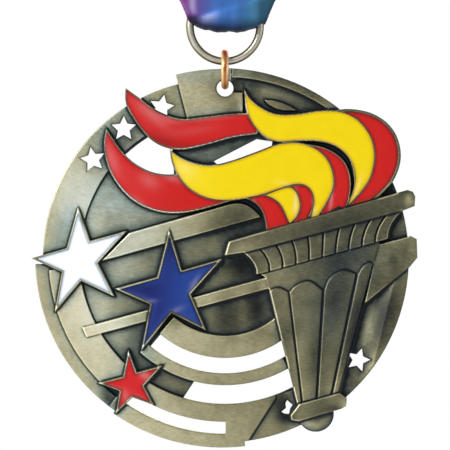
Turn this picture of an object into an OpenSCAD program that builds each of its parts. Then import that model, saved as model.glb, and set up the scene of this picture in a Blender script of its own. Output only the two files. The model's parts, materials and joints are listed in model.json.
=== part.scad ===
// Sports finisher medal: an openwork die-cast disc with enamelled stars and a flaming torch,
// hung by a jump ring and a ribbon ring from a neck ribbon that is wound up for storage.
// +Z is up, the medal's face looks along -Y, and the origin is the peg that the ribbon hangs from.
// Relief outlines are drawn on the medal's own plane, about the centre of its disc.

/* [Medal] */
// Height of the hanging peg above the centre of the disc
hang_z = 100; // [98:1:104]
// Distance of the disc's centre to the left of the hanging line
disc_shift = 0.5; // [0:0.1:1]
// Back plane of the casting, behind the hanging line
back_y = 1.05; // [0.95:0.05:1.15]
// Radius of the disc along most of its edge
disc_r = 31.2; // [31:0.1:31.3]
// Radius of the hole for the jump ring
hole_r = 1.4; // [1.3:0.05:1.5]
// Height of the hole above the disc's centre
hole_z = 28.3; // [28.1:0.1:28.4]
// Diameter of the engraving field sunk into the back
engrave_d = 25.4; // [20:0.2:30]
// Depth of the engraving field
engrave_depth = 0.15; // [0.1:0.05:0.2]
// Depth of the pocket cored into the back behind the torch
torch_core = 1.4; // [1:0.1:1.4]
// Depth of the pockets cored into the back behind the right-hand flames
flame_core = 0.8; // [0.5:0.1:0.9]
// Wall left between a cored pocket and the edges round it
core_wall = 1; // [0.9:0.1:1.3]

/* [Relief heights above the back] */
// Recessed fields
field_h = 1.4; // [1.2:0.1:1.5]
// Band pierced with small stars, and the left rim
step_h = 1.8; // [1.7:0.1:1.9]
// Wide bands, arcs and the top tab
band_h = 2.1; // [2:0.1:2.2]
// Straight bars behind the stars
bar_h = 2.35; // [2.3:0.05:2.5]
// Top of the raised rims round the enamel
rim_h = 2.8; // [2.7:0.1:2.9]
// Surface of the enamel
enamel_h = 2.7; // [2.6:0.05:2.75]
// Floor of the enamel cells
cell_floor_h = 1.9; // [1.7:0.1:2]
// Body of the torch between its flutes
torch_h = 2.5; // [2.4:0.1:2.6]
// Raised flutes of the torch
flute_h = 2.8; // [2.7:0.1:2.9]
// Curved ribs under the bowl's rim
rib_h = 2.9; // [2.8:0.1:3]
// Bowl rim and collar of the torch
bowl_h = 3.3; // [3.2:0.1:3.4]

/* [Rims and grooves] */
// Width of the metal rim round the stars
star_rim = 0.32; // [0.25:0.01:0.4]
// Width of the metal rim round the flames
flame_rim = 0.24; // [0.2:0.01:0.3]
// Width of the wider metal edge outside the right-hand flame
outer_flame_rim = 0.5; // [0.4:0.05:0.6]
// Width of the grooves between the ribs
groove_w = 0.26; // [0.2:0.02:0.3]
// Depth of the grooves between the ribs
groove_depth = 0.4; // [0.3:0.05:0.5]

/* [Rings] */
// Outer diameter of the copper jump ring
jump_od = 6.7; // [6.6:0.1:6.8]
// Wire diameter of the jump ring
jump_wire = 1.25; // [1.2:0.05:1.3]
// Outer diameter of the ribbon ring
ribbon_ring_od = 13; // [12.8:0.1:13.2]
// Wire diameter of the ribbon ring
ribbon_ring_wire = 1.3; // [1.25:0.05:1.35]
// Clearance between parts that hang on each other
hang_gap = 0.08; // [0.06:0.01:0.1]
// Angle left open at the butt joint of each ring
joint_angle = 3; // [2:1:5]

/* [Ribbon] */
// Width of the neck ribbon
ribbon_w = 22.2; // [22:0.1:22.4]
// Thickness of the two straps lying together
strap_t = 0.8; // [0.7:0.1:1]
// Height of the wound-up skein
skein_len = 50; // [49:1:51]
// Thickness of the wound-up skein
skein_t = 8.4; // [8:0.2:8.8]
// Thickness of the skein's eye
eye_t = 2.4; // [2:0.2:2.6]
// Width of the tie round the skein
tie_w = 5; // [4:0.5:6]
// Thickness of the tie
tie_t = 0.6; // [0.5:0.1:0.8]
// Thickness of the sewn seam where the ribbon's ends meet
seam_t = 0.2; // [0.15:0.05:0.3]

/* [Hidden] */
$fn = 96;

curve_steps = 4;
arc_x = 0.5;
hole_x = 0.5;
big = 60;
above = 5;

brass = [0.62, 0.59, 0.43];
enamel_red = [0.84, 0.12, 0.13];
enamel_yellow = [0.97, 0.86, 0.08];
enamel_white = [0.96, 0.97, 0.98];
enamel_blue = [0.12, 0.22, 0.55];

// Ring places, worked out from what hangs on what
web_half_t = back_y;
jump_r = jump_od / 2 - jump_wire / 2;
jump_in_r = jump_od / 2 - jump_wire;
jump_z = hole_z + hole_r - hang_gap + sqrt(jump_in_r * jump_in_r - web_half_t * web_half_t);
ring_r = ribbon_ring_od / 2 - ribbon_ring_wire / 2;
ring_z = jump_z + jump_in_r - hang_gap - ribbon_ring_wire / 2 + ring_r;

// Ribbon places
fold_bottom_z = ring_z - 1.0;
fold_top_z = ring_z + ring_r + 1.9;
skein_top_z = hang_z + skein_t / 2;
skein_bottom_z = skein_top_z - skein_len;
wide_z = fold_top_z + 4.7;
strap_front = [[-strap_t / 2, fold_top_z - 0.3], [skein_t / 2 - strap_t, skein_bottom_z + 5]];
strap_back = [[strap_t / 2, fold_top_z - 0.3], [skein_t / 2, skein_bottom_z + 5]];

// The disc's edge as arcs: start angle, end angle, radius
edge_arcs = [
    [-50, 50, disc_r],
    [50, 88, disc_r + 0.45],
    [88, 104.2, disc_r + 0.3],
    [104.2, 182, disc_r - 1.3],
    [182, 235, disc_r],
    [235, 277, disc_r + 0.5],
    [277, 310, disc_r - 0.3]
];

// Five-pointed enamel stars: tip and notch in turn, starting from the top tip
white_star = [
    [-24, 8.4], [-22, 2.8], [-15.8, 4.5], [-20.7, -0.9], [-17.9, -6.5],
    [-23.5, -3.9], [-27.9, -9.1], [-26.7, -2.4], [-31.8, -0.1], [-25.9, 1.6]
];
blue_star = [
    [-8.8, 4.7], [-6.7, -2.1], [0.2, -0.1], [-5.2, -6.1], [-2.6, -12.2],
    [-8.4, -9.3], [-13.5, -15.6], [-12, -7.8], [-17.9, -5.2], [-10.8, -3.2]
];
red_star = [
    [-15.6, -15.3], [-14.2, -19.1], [-9.8, -17.9], [-13, -21.4], [-11.3, -24.6],
    [-14.9, -23.3], [-17.7, -26], [-17.1, -22.3], [-20.7, -20.9], [-16.5, -19.8]
];

// Flames, from the lowest layer to the top one: each has two edges that run from tip to root
red_upper = [
    [[-16.1, 28.3], [-13.7, 26.6], [-10.7, 24.5], [-7, 23.2], [-3, 23.5], [1.3, 24], [6, 24.2]],
    [[-16.1, 28.3], [-16, 25.6], [-14.3, 22.5], [-12, 19.8], [-9.5, 18.4], [-6.5, 18],
     [-2.2, 18.9], [1.8, 20], [6, 20.6]]
];
red_outer = [
    [[16, 24], [20.5, 24.8], [24, 24.4], [26.3, 23.4], [28, 22], [29.2, 20.1], [29.8, 17.7],
     [29.6, 15.3], [28.5, 12.7], [26.8, 10.7], [25, 9.2]],
    [[16, 24], [18, 21], [21, 17], [22, 12], [20.5, 8]]
];
red_lower = [
    [[-19.3, 21.6], [-17.2, 18.5], [-15, 16.1], [-12.2, 14.5], [-9.5, 13.9], [-6, 13.8], [0, 12],
     [3, 9.9]],
    [[-19.3, 21.6], [-19.7, 18.4], [-18.8, 14.6], [-16.7, 11.3], [-14, 9], [-10.7, 7.7],
     [-7.5, 7.4], [-4.3, 7.8], [-0.2, 8.9], [3, 9.9]]
];
red_middle = [
    [[12, 19.2], [16, 18.7], [18.9, 17.5], [20.8, 15.5], [21.5, 13], [21.4, 10.5], [20.7, 8.2]],
    [[12, 19.2], [15, 15], [16, 11], [15.5, 6.6]]
];
red_small = [
    [[11.2, 12.2], [14.5, 12], [15.6, 9.5], [14.2, 6]],
    [[11.2, 12.2], [12, 9], [11, 5.2]]
];
red_base = [
    [[3.6, 10], [7.5, 11], [11, 8], [12, 4.8]],
    [[3.6, 10], [5.5, 9], [6.8, 7.3], [7.5, 4]]
];
yellow_middle = [
    [[-8.7, 18.1], [-6.9, 16.8], [-4.3, 15.8], [-1.7, 15.5], [1.3, 16.1], [5.8, 17.7], [9.3, 19],
     [12.5, 19.3], [15.5, 18.4], [17.6, 16.6], [18.7, 13.9], [18.5, 11], [16.2, 6.8]],
    [[-8.7, 18.1], [-8.4, 16], [-7.3, 13.5], [-5.5, 11.4], [-2.8, 9.9], [0.2, 9.4], [3.5, 9.7],
     [6.8, 10.4], [10.7, 11.7], [13, 12.1], [14.6, 11.3], [15.2, 9.3], [14.4, 6.2]]
];
yellow_small = [
    [[6.6, 10.4], [10.7, 11.9], [12.4, 11.2], [13.2, 8.9], [12.6, 6.8], [11.2, 5.3]],
    [[6.6, 10.4], [8.6, 9.6], [9.9, 8.3], [11.2, 5.3]]
];
yellow_upper = [
    [[3.7, 28.3], [4.7, 26.6], [6.7, 25], [9.2, 24], [12.4, 24], [16.3, 24.6], [19.7, 24.5],
     [22.6, 23.2], [24.8, 20.5], [25.6, 17.2], [25, 13.6], [23.3, 10.9], [21, 8.4]],
    [[3.7, 28.3], [4, 24.6], [5.2, 22], [7.2, 20], [9.7, 19.2], [13, 19.4], [16.3, 19.3],
     [18.9, 18.5], [21, 16.7], [22, 14], [21.8, 11.2], [20.5, 8.4]]
];
flames = [
    red_upper, red_outer, red_lower, red_middle, red_small, red_base,
    yellow_middle, yellow_small, yellow_upper
];

// Torch outlines
bowl_rim_outline = [
    [0.4, 0.3], [1.1, 2.7], [30.9, 11.3], [31.8, 11], [32.2, 10.2], [32.1, 8.6], [30.3, 7.9], [3.7, 0.8]
];
rib_top = [[3.5, 0.9], [30.3, 8.1]];
rib_bottom = [[5.7, -2.9], [27.7, 3.1]];
rib_count = 10;
rib_bow = 0.7;
torch_body_outline = [
    [6.4, -2.8], [26.3, 2.7], [25.3, -0.8], [19.6, -23], [12.6, -24.6], [7.3, -3.3]
];
collar_outline = [
    [12.8, -24.4], [19.7, -22.5], [20.8, -23.4], [20.7, -24.7], [19.8, -25.2], [12.8, -27.3],
    [11.5, -27.1], [11.4, -26.2]
];
wing_outline = [[26, 2.2], [31.5, 3.6], [32.5, 3.1], [32.6, 0], [31.3, -1.6], [23.7, -7.8]];
// Flutes: the arched top from left to right, then the foot from right to left
flute_tops = [
    [[8, -5.6], [8.7, -5.15], [9.7, -5.05], [11, -5.7]],
    [[11.3, -5.8], [12.4, -4.6], [14.6, -3.9], [16.7, -5.4]],
    [[17.1, -5.4], [18, -3.4], [20.2, -2.1], [22.3, -2.7]],
    [[22.7, -2.8], [23.5, -1.5], [24.6, -0.8], [25.1, -1]]
];
flute_feet = [
    [[13.2, -24.1], [12.5, -24.3]],
    [[15.6, -23.5], [13.5, -24]],
    [[18.1, -22.8], [16, -23.4]],
    [[19.4, -22.4], [18.5, -22.7]]
];

function mix(a, b, t) = a + (b - a) * t;
function polar(r, a) = [r * cos(a), r * sin(a)];

// Smooth curve through a list of knots
function bend(p0, p1, p2, p3, t) =
    0.5 * (2 * p1 + (p2 - p0) * t + (2 * p0 - 5 * p1 + 4 * p2 - p3) * t * t
    + (3 * p1 - p0 - 3 * p2 + p3) * t * t * t);
function curve(k) = [
    for (i = [0:len(k) - 2], s = [0:curve_steps - 1])
        bend(k[max(i - 1, 0)], k[i], k[i + 1], k[min(i + 2, len(k) - 1)], s / curve_steps),
    k[len(k) - 1]
];
function backwards(k) = [for (i = [len(k) - 1:-1:0]) k[i]];
function flame_points(f) =
    let (up = curve(f[0]), down = curve(f[1]))
    concat(up, [for (i = [len(down) - 1:-1:1]) down[i]]);

// Solid between two heights above the casting's back, from an outline on the medal's plane
module relief(h0, h1) {
    translate([-disc_shift, back_y, -hang_z])
        rotate([90, 0, 0])
            translate([0, 0, h0])
                linear_extrude(h1 - h0)
                    children();
}

module wedge(a0, a1) {
    steps = ceil((a1 - a0) / 45);
    polygon(concat([[0, 0]], [for (i = [0:steps]) polar(big, mix(a0, a1, i / steps))]));
}

module arc_band(r_in, r_out, a0, a1) {
    translate([arc_x, 0])
        intersection() {
            difference() {
                circle(r_out);
                circle(r_in);
            }
            wedge(a0, a1);
        }
}

module edge_sector(arc) {
    intersection() {
        circle(arc[2]);
        wedge(arc[0], arc[1]);
    }
}

module disc_shape() {
    for (arc = edge_arcs)
        edge_sector(arc);
}

module flame(i) {
    polygon(flame_points(flames[i]));
}

module bowl_rim_shape() {
    polygon(bowl_rim_outline);
}

// Enamel cell of a flame: its outline inside the rim, less whatever lies over it
module flame_cell(i, rim) {
    difference() {
        offset(delta = -rim)
            flame(i);
        for (j = [i + 1:1:len(flames) - 1])
            flame(j);
        bowl_rim_shape();
    }
}

module star_cell(points) {
    offset(delta = -star_rim)
        polygon(points);
}

function rim_of(i) = i == 1 ? outer_flame_rim : flame_rim;

module all_cells() {
    for (i = [0:len(flames) - 1])
        flame_cell(i, rim_of(i));
    for (star = [white_star, blue_star, red_star])
        star_cell(star);
}

// Small pierced star: five points about a centre on the star band or beside the torch
module pierced_star(centre, r, lean) {
    translate(centre)
        rotate(lean)
            polygon([for (i = [0:9]) polar(i % 2 == 0 ? r : r * 0.48, 90 + 36 * i)]);
}

module star_row() {
    row_r = 27.1;
    first = 111.8;
    pitch = 15.5;
    for (i = [0:2]) {
        a = first + i * pitch;
        pierced_star(polar(row_r, a), 2.15, (a - 127.3) * 0.7);
    }
    pierced_star([22.8, -17.1], 2.05, -17);
    // Star cut short by the torch's collar
    polygon([
        [10.9, -23.8], [11.8, -24.6], [11.4, -25.2], [11.2, -26.1], [10.5, -26.05], [9.9, -25.75],
        [10.7, -25.1], [10.6, -24.3]
    ]);
}

// Everything that goes right through the casting
module openings() {
    difference() {
        union() {
            star_row();
            arc_band(16.75, 19.3, 230, 312);
            intersection() {
                arc_band(21.3, 24.4, 250, 300);
                polygon([[-4.2, -20], [-6.9, -24.1], [-6, -26], [16, -26], [16, -16]]);
            }
            intersection() {
                arc_band(27.4, 29.4, 234, 275);
                translate([-big, -big])
                    square([big + 0.6, big]);
            }
            intersection() {
                circle(23.6);
                polygon([[-17, 16], [-15, 21.5], [-8.5, 21], [-8, 13.5], [-12, 13.8]]);
            }
            polygon([[-1.4, 16.1], [5.8, 19.8], [8.4, 19.4], [8, 16.5], [0, 15]]);
        }
        for (i = [0:len(flames) - 1])
            flame(i);
        for (star = [white_star, blue_star, red_star])
            polygon(star);
        torch_shape();
    }
    translate([hole_x, hole_z])
        circle(hole_r);
}

module torch_shape() {
    bowl_rim_shape();
    polygon(rib_outline());
    polygon(torch_body_outline);
    polygon(collar_outline);
}

function rib_edge(t, bow) =
    let (a = mix(rib_top[0], rib_top[1], t), b = mix(rib_bottom[0], rib_bottom[1], t))
    [for (s = [0:0.25:1]) mix(a, b, s) + [bow * (1 - 2 * t) * 4 * s * (1 - s), 0]];
function rib_outline() = concat(rib_edge(0, rib_bow), backwards(rib_edge(1, rib_bow)));

module rib_groove(i) {
    line = rib_edge(i / rib_count, rib_bow);
    side = [groove_w / 2, 0];
    polygon(concat([for (p = line) p - side], backwards([for (p = line) p + side])));
}

module tab_shape() {
    intersection() {
        disc_shape();
        polygon([[-8.2, 32.4], [-5.3, 21], [3.5, 22], [3.5, 27.6], [1.5, 27.6], [1.5, 33]]);
    }
}

module bar_shapes() {
    polygon(concat([[-20.2, -0.6], [-15.6, 4.1]],
        curve([[1.3, 8.95], [3, 9.1], [4.8, 8.4], [6.6, 6.8]])));
    polygon([[-23.3, -11.7], [8, -3.1], [8.2, -5.1], [-22.6, -13.3]]);
}

// Flat bands and arcs
module band_shapes() {
    intersection() {
        disc_shape();
        union() {
            difference() {
                arc_band(24.3, 29.45, 184, 231);
                polygon([[-20.7, -20.9], [-16.5, -21.5], [-17.7, -26], [-26, -26]]);
            }
            arc_band(13, 16.75, 229, 312);
            arc_band(19.3, 21.3, 228, 300);
            difference() {
                arc_band(24.4, 33, 232, 290);
                polygon([[9.4, -22.8], [3.8, -31.5], [4, -34], [20, -34], [20, -22]]);
            }
            arc_band(30.1, 33, 46, 88);
        }
    }
}

module step_shapes() {
    intersection() {
        disc_shape();
        union() {
            arc_band(24.3, 31, 104, 184);
            arc_band(29.45, 33, 182, 236);
            polygon([[9.4, -22.8], [3.8, -31.5], [4, -34], [20, -34], [24, -26], [12, -22]]);
            polygon([
                [7, 26.4], [8.5, 26.3], [10, 25.9], [11.4, 25.3], [12.7, 24.5], [10.2, 24.5],
                [8.8, 24.9], [7.6, 25.6]
            ]);
        }
    }
}

// Crescent right of the torch, hollowed along the torch's side
module right_crescent() {
    scoop_r = 7.5;
    difference() {
        relief(0, band_h)
            intersection() {
                disc_shape();
                polygon([[22, -6], [25, -4], [33, 1], [33, -20], [22, -30], [16, -24]]);
            }
        translate([-disc_shift, back_y, -hang_z])
            rotate([90, 0, 0])
                translate([20.2, -23.6, scoop_r + 1.2])
                    rotate([0, 0, atan2(-5.4, 21.6)])
                        rotate([-90, 0, 0])
                            translate([0, 0, -4])
                                cylinder(r = scoop_r, h = 26);
    }
}

module torch_ball() {
    ball_r = 3.03;
    ball_at = [15.65, -26.05];
    cap_r = 7;
    intersection() {
        relief(0, torch_h + 0.1)
            translate(ball_at)
                circle(ball_r);
        translate([ball_at[0] - disc_shift, back_y - (torch_h + 0.1 - cap_r), ball_at[1] - hang_z])
            sphere(cap_r);
    }
}

module torch_relief() {
    relief(0, torch_h)
        polygon(torch_body_outline);
    relief(0, flute_h)
        for (i = [0:len(flute_tops) - 1])
            polygon(concat(curve(flute_tops[i]), flute_feet[i]));
    relief(0, torch_h - 0.1)
        polygon(wing_outline);
    difference() {
        relief(0, rib_h)
            polygon(rib_outline());
        relief(rib_h - groove_depth, rib_h + above)
            for (i = [1:rib_count - 1])
                rib_groove(i);
    }
    relief(0, bowl_h) {
        bowl_rim_shape();
        polygon(collar_outline);
    }
    torch_ball();
}

// Pockets in the back behind the thick relief, which bring the weight under the hanging line
module back_cores() {
    relief(-above, torch_core)
        difference() {
            offset(delta = -core_wall) {
                torch_shape();
                polygon(wing_outline);
            }
            translate([arc_x, 0])
                circle(d = engrave_d + 2 * core_wall);
        }
    relief(-above, flame_core)
        difference() {
            offset(delta = -core_wall)
                for (i = [1, 3, 8])
                    flame(i);
            bowl_rim_shape();
            translate([-big, -big])
                square([big + 12, 2 * big]);
        }
}

module medal_casting() {
    color(brass)
        difference() {
            union() {
                relief(0, field_h)
                    disc_shape();
                relief(0, step_h)
                    step_shapes();
                relief(0, band_h) {
                    band_shapes();
                    tab_shape();
                }
                relief(0, bar_h)
                    bar_shapes();
                right_crescent();
                torch_relief();
                relief(0, rim_h) {
                    for (i = [0:len(flames) - 1])
                        flame(i);
                    for (star = [white_star, blue_star, red_star])
                        polygon(star);
                }
            }
            relief(-above, above)
                openings();
            relief(cell_floor_h, above)
                all_cells();
            relief(-above, engrave_depth)
                translate([arc_x, 0])
                    circle(d = engrave_d);
            back_cores();
        }
}

module flame_enamel(i, tint) {
    color(tint)
        relief(cell_floor_h, enamel_h)
            flame_cell(i, rim_of(i));
}

module star_enamel(points, tint) {
    color(tint)
        relief(cell_floor_h, enamel_h)
            star_cell(points);
}

// Round wire ring about the Z axis, with its butt joint at angle 0
module wire_ring(r, wire) {
    rotate([0, 0, joint_angle / 2])
        rotate_extrude(angle = 360 - joint_angle)
            translate([r, 0])
                circle(d = wire, $fn = 32);
}

module jump_ring() {
    color([0.80, 0.52, 0.30])
        translate([0, 0, jump_z - hang_z])
            rotate([0, 90, 0])
                rotate([0, 0, 60])
                    wire_ring(jump_r, jump_wire);
}

module ribbon_ring() {
    color([0.72, 0.70, 0.60])
        translate([0, 0, ring_z - hang_z])
            rotate([90, 0, 0])
                rotate([0, 0, 90])
                    wire_ring(ring_r, ribbon_ring_wire);
}

// Solid from a side outline (Y, Z), running along X
module side_profile(w) {
    rotate([90, 0, 90])
        linear_extrude(w, center = true)
            children();
}

// Solid from a front outline (X, Z), running along Y
module front_profile(d) {
    rotate([90, 0, 0])
        linear_extrude(d, center = true)
            children();
}

// Half of the loop's side outline, mirrored to both faces
module loop_side(points) {
    polygon(concat(points, backwards([for (p = points) [-p[0], p[1]]])));
}

// Gathered loop that holds the top of the ribbon ring, and the straps up to the skein
module ribbon_lead() {
    intersection() {
        side_profile(big) {
            difference() {
                loop_side([
                    [0.6, fold_top_z + 0.5], [1.5, fold_top_z - 1.4], [3.3, fold_bottom_z + 1.7],
                    [2.9, fold_bottom_z + 0.5], [2, fold_bottom_z]
                ]);
                loop_side([
                    [0.5, fold_top_z - 0.5], [0.95, fold_top_z - 1.4], [2.7, fold_bottom_z + 1.6],
                    [2.3, fold_bottom_z + 0.95]
                ]);
            }
            polygon([strap_front[0], strap_back[0], strap_back[1], strap_front[1]]);
        }
        front_profile(big)
            polygon([
                [-4.5, fold_bottom_z], [-4.9, fold_bottom_z + 1.2], [-5.8, fold_bottom_z + 1.8],
                [-ribbon_w / 2, wide_z], [-ribbon_w / 2, strap_back[1][1]],
                [ribbon_w / 2, strap_back[1][1]], [ribbon_w / 2, wide_z],
                [6.6, fold_bottom_z + 1.9], [4.9, fold_bottom_z + 1.2], [4.5, fold_bottom_z]
            ]);
    }
}

module stadium(len, t) {
    hull()
        for (z = [t / 2, len - t / 2])
            translate([0, z])
                circle(d = t, $fn = 48);
}

// Ribbon wound into a flat skein, with an eye down its middle for the peg
module skein() {
    eye_edge = (skein_t - eye_t) / 2;
    side_profile(ribbon_w)
        translate([0, skein_bottom_z])
            difference() {
                stadium(skein_len, skein_t);
                translate([0, eye_edge])
                    stadium(skein_len - 2 * eye_edge, eye_t);
            }
}

module neck_ribbon() {
    color([0.30, 0.42, 0.75])
        translate([0, 0, -hang_z]) {
            ribbon_lead();
            skein();
        }
}

// Seam where the ribbon's ends are sewn together, behind the straps
module ribbon_stitching() {
    seam_len = 15;
    low = mix(strap_back[0], strap_back[1], 0.3);
    high = mix(strap_back[0], strap_back[1], 0.46);
    lift = [seam_t, 0];
    color([0.85, 0.85, 0.9])
        translate([0, 0, -hang_z])
            side_profile(seam_len)
                polygon([low, low + lift, high + lift, high]);
}

module skein_tie() {
    tie_z = (skein_top_z + skein_bottom_z - tie_w) / 2 - hang_z;
    color([0.15, 0.15, 0.16])
        difference() {
            translate([-ribbon_w / 2 - tie_t, -skein_t / 2 - tie_t, tie_z])
                cube([ribbon_w + 2 * tie_t, skein_t + 2 * tie_t, tie_w]);
            translate([-ribbon_w / 2, -skein_t / 2, tie_z - 1])
                cube([ribbon_w, skein_t, tie_w + 2]);
        }
}

medal_casting();
flame_enamel(0, enamel_red);  // enamel_red_upper
flame_enamel(1, enamel_red);  // enamel_red_outer
flame_enamel(2, enamel_red);  // enamel_red_lower
flame_enamel(3, enamel_red);  // enamel_red_middle
flame_enamel(4, enamel_red);  // enamel_red_small
flame_enamel(5, enamel_red);  // enamel_red_base
flame_enamel(6, enamel_yellow);  // enamel_yellow_middle
flame_enamel(7, enamel_yellow);  // enamel_yellow_small
flame_enamel(8, enamel_yellow);  // enamel_yellow_upper
star_enamel(white_star, enamel_white);  // enamel_white_star
star_enamel(blue_star, enamel_blue);  // enamel_blue_star
star_enamel(red_star, enamel_red);  // enamel_red_star
jump_ring();
ribbon_ring();
neck_ribbon();
ribbon_stitching();
skein_tie();
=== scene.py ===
"""Sports finisher medal: an openwork cast disc with enamel, on two rings and a neck ribbon."""

import json
import math

import bmesh
import bpy
import numpy as np
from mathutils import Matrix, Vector, geometry, kdtree


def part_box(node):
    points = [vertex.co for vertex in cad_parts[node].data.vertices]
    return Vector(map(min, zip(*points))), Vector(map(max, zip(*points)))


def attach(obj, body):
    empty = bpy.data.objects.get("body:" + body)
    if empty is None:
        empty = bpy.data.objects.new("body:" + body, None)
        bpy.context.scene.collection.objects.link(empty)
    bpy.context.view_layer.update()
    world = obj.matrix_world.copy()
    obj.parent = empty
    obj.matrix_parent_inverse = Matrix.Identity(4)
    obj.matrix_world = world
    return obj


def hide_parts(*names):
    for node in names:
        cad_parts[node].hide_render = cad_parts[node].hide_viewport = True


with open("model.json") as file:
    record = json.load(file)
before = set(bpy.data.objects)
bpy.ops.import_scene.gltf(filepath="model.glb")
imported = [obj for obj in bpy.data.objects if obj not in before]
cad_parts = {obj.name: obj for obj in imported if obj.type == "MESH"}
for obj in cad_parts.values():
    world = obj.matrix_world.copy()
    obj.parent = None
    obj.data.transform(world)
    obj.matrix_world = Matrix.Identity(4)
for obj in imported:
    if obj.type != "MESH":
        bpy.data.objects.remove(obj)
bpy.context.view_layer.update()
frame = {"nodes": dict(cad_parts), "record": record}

MM = 0.001
BACK_Y = 1.05  # the casting's flat back; heights are measured from it, towards -Y
ENAMEL_H = 2.7  # the enamels' face
CELL_H = 2.35  # the casting's face under the enamels
DISC_Z = -100.0  # the disc's centre

ENAMELS = [n for n in frame["record"]["behaviour"]["bodies"]["medal"] if n.startswith("enamel")]

# ---- camera

VIEW_WIDTH = 0.075
VIEW_CENTRE_Z = -0.09455
CAMERA_DISTANCE = 0.6
FACE_Y = -0.0018

scene = bpy.context.scene
scene.view_settings.view_transform = "Standard"

camera_data = bpy.data.cameras.new("camera")
camera_data.sensor_width = 36
camera_data.lens = 36 * CAMERA_DISTANCE / VIEW_WIDTH
camera = bpy.data.objects.new("camera", camera_data)
camera.location = (0, FACE_Y - CAMERA_DISTANCE, VIEW_CENTRE_Z)
camera.rotation_euler = (math.radians(90), 0, 0)
scene.collection.objects.link(camera)
scene.camera = camera


# ---- node tools

def new_tree(owner):
    owner.use_nodes = True
    tree = owner.node_tree
    tree.nodes.clear()
    return tree


def plug(tree, node, inputs):
    """Sets a node's inputs, each to a value, the name of a point attribute, or a link from another node"""
    for key, value in inputs.items():
        if isinstance(value, str):
            value = add_node(tree, "Attribute", {}, attribute_name=value).outputs["Fac"]
        if isinstance(value, bpy.types.NodeSocket):
            tree.links.new(value, node.inputs[key])
        else:
            node.inputs[key].default_value = value


def add_node(tree, kind, inputs, **settings):
    node = tree.nodes.new("ShaderNode" + kind)
    for name, value in settings.items():
        setattr(node, name, value)
    plug(tree, node, inputs)
    return node


def shader(name, constants):
    """A material with a Principled shader, whose constants are set on its own sockets"""
    material = bpy.data.materials.new(name)
    tree = new_tree(material)
    surface = add_node(tree, "BsdfPrincipled", constants)
    add_node(tree, "OutputMaterial", {"Surface": surface.outputs[0]})
    return material, tree, surface


def object_point(tree):
    return add_node(tree, "TexCoord", {}).outputs["Object"]


def object_x(tree):
    return add_node(tree, "SeparateXYZ", {0: object_point(tree)}).outputs["X"]


def math_node(tree, kind, a, b, clamp=False):
    return add_node(tree, "Math", {0: a, 1: b}, operation=kind, use_clamp=clamp).outputs[0]


def ramp(tree, factor, stops):
    node = add_node(tree, "ValToRGB", {0: factor})
    band = node.color_ramp
    band.interpolation = "B_SPLINE" if len(stops) > 4 else "LINEAR"
    while len(band.elements) < len(stops):
        band.elements.new(0.5)
    for element, (at, colour) in zip(band.elements, stops):
        element.position = at
        element.color = (*colour, 1)
    return node.outputs[0]


def span(tree, value, low, high, to_low=0.0, to_high=1.0, smooth=False):
    inputs = {"Value": value, "From Min": low, "From Max": high, "To Min": to_low, "To Max": to_high}
    kind = "SMOOTHSTEP" if smooth else "LINEAR"
    return add_node(tree, "MapRange", inputs, interpolation_type=kind).outputs[0]


def vary(tree, value, low, high):
    """The middle of a noise's range, stretched from low to high"""
    return span(tree, value, 0.3, 0.7, low, high)


def mix_colour(tree, factor, a, b, kind="MIX"):
    a, b = ((*c, 1) if isinstance(c, tuple) else c for c in (a, b))
    return add_node(tree, "Mix", {0: factor, 6: a, 7: b}, data_type="RGBA", blend_type=kind).outputs[2]


def dim(tree, colour, factor):
    """The colour times a number"""
    grey = add_node(tree, "CombineColor", {0: factor, 1: factor, 2: factor}).outputs[0]
    return mix_colour(tree, 1.0, colour, grey, "MULTIPLY")


def noise(tree, scale, stretch=(1, 1, 1), detail=3.0, rough=0.5):
    """Noise in the object's own space; scale is in features per millimetre"""
    size = tuple(s / MM for s in stretch)
    place = add_node(tree, "Mapping", {"Scale": size, "Vector": object_point(tree)}).outputs[0]
    inputs = {"Scale": scale, "Detail": detail, "Roughness": rough, "Vector": place}
    return add_node(tree, "TexNoise", inputs).outputs["Fac"]


def dress(tree, surface, colour, height, strength, distance, **more):
    """Colour and bump of a Principled shader, and more of its sockets"""
    bump = add_node(tree, "Bump", {"Strength": strength, "Distance": distance, "Height": height})
    plug(tree, surface, {"Base Color": colour, "Normal": bump.outputs[0], **more})


# ---- light

LIGHTS_AIM = (0, 0, -0.09)


def softbox(name, at, size, power, tint=(1, 1, 1)):
    data = bpy.data.lights.new(name, "AREA")
    data.shape = "RECTANGLE"
    data.size, data.size_y = size
    data.energy = power
    data.color = tint
    lamp = bpy.data.objects.new(name, data)
    lamp.location = at
    lamp.rotation_euler = (Vector(LIGHTS_AIM) - lamp.location).to_track_quat("-Z", "Y").to_euler()
    scene.collection.objects.link(lamp)


softbox("key", (-0.42, -0.42, 0.22), (0.3, 0.3), 3.0, (1.0, 0.99, 0.96))
softbox("edge", (-0.55, -0.05, -0.02), (0.16, 0.4), 0.9)
softbox("side", (0.5, -0.16, -0.05), (0.1, 0.4), 0.75)
softbox("back", (0.15, 0.55, 0.2), (0.4, 0.4), 1.5)


def studio_strength(tree, direction):
    """Brightness of the studio by direction: white behind the medal, falling off to the front right"""
    split = add_node(tree, "SeparateXYZ", {0: direction})
    side = span(tree, split.outputs["X"], -0.7, 0.8, 0.92, 0.42)
    behind = span(tree, split.outputs["Y"], 0.2, 0.8, smooth=True)
    mix = add_node(tree, "Mix", {"Factor": behind, "A": side, "B": 1.0}).outputs[0]
    card = span(tree, split.outputs["Y"], -0.98, -0.8, 0.25, smooth=True)
    return math_node(tree, "MULTIPLY", mix, card)


def build_world():
    scene.world = bpy.data.worlds.new("studio")
    tree = new_tree(scene.world)
    direction = add_node(tree, "TexCoord", {}).outputs["Generated"]
    back = add_node(tree, "Background", {"Color": (1, 1, 1, 1), "Strength": studio_strength(tree, direction)})
    add_node(tree, "OutputWorld", {"Surface": back.outputs[0]})


build_world()


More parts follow.
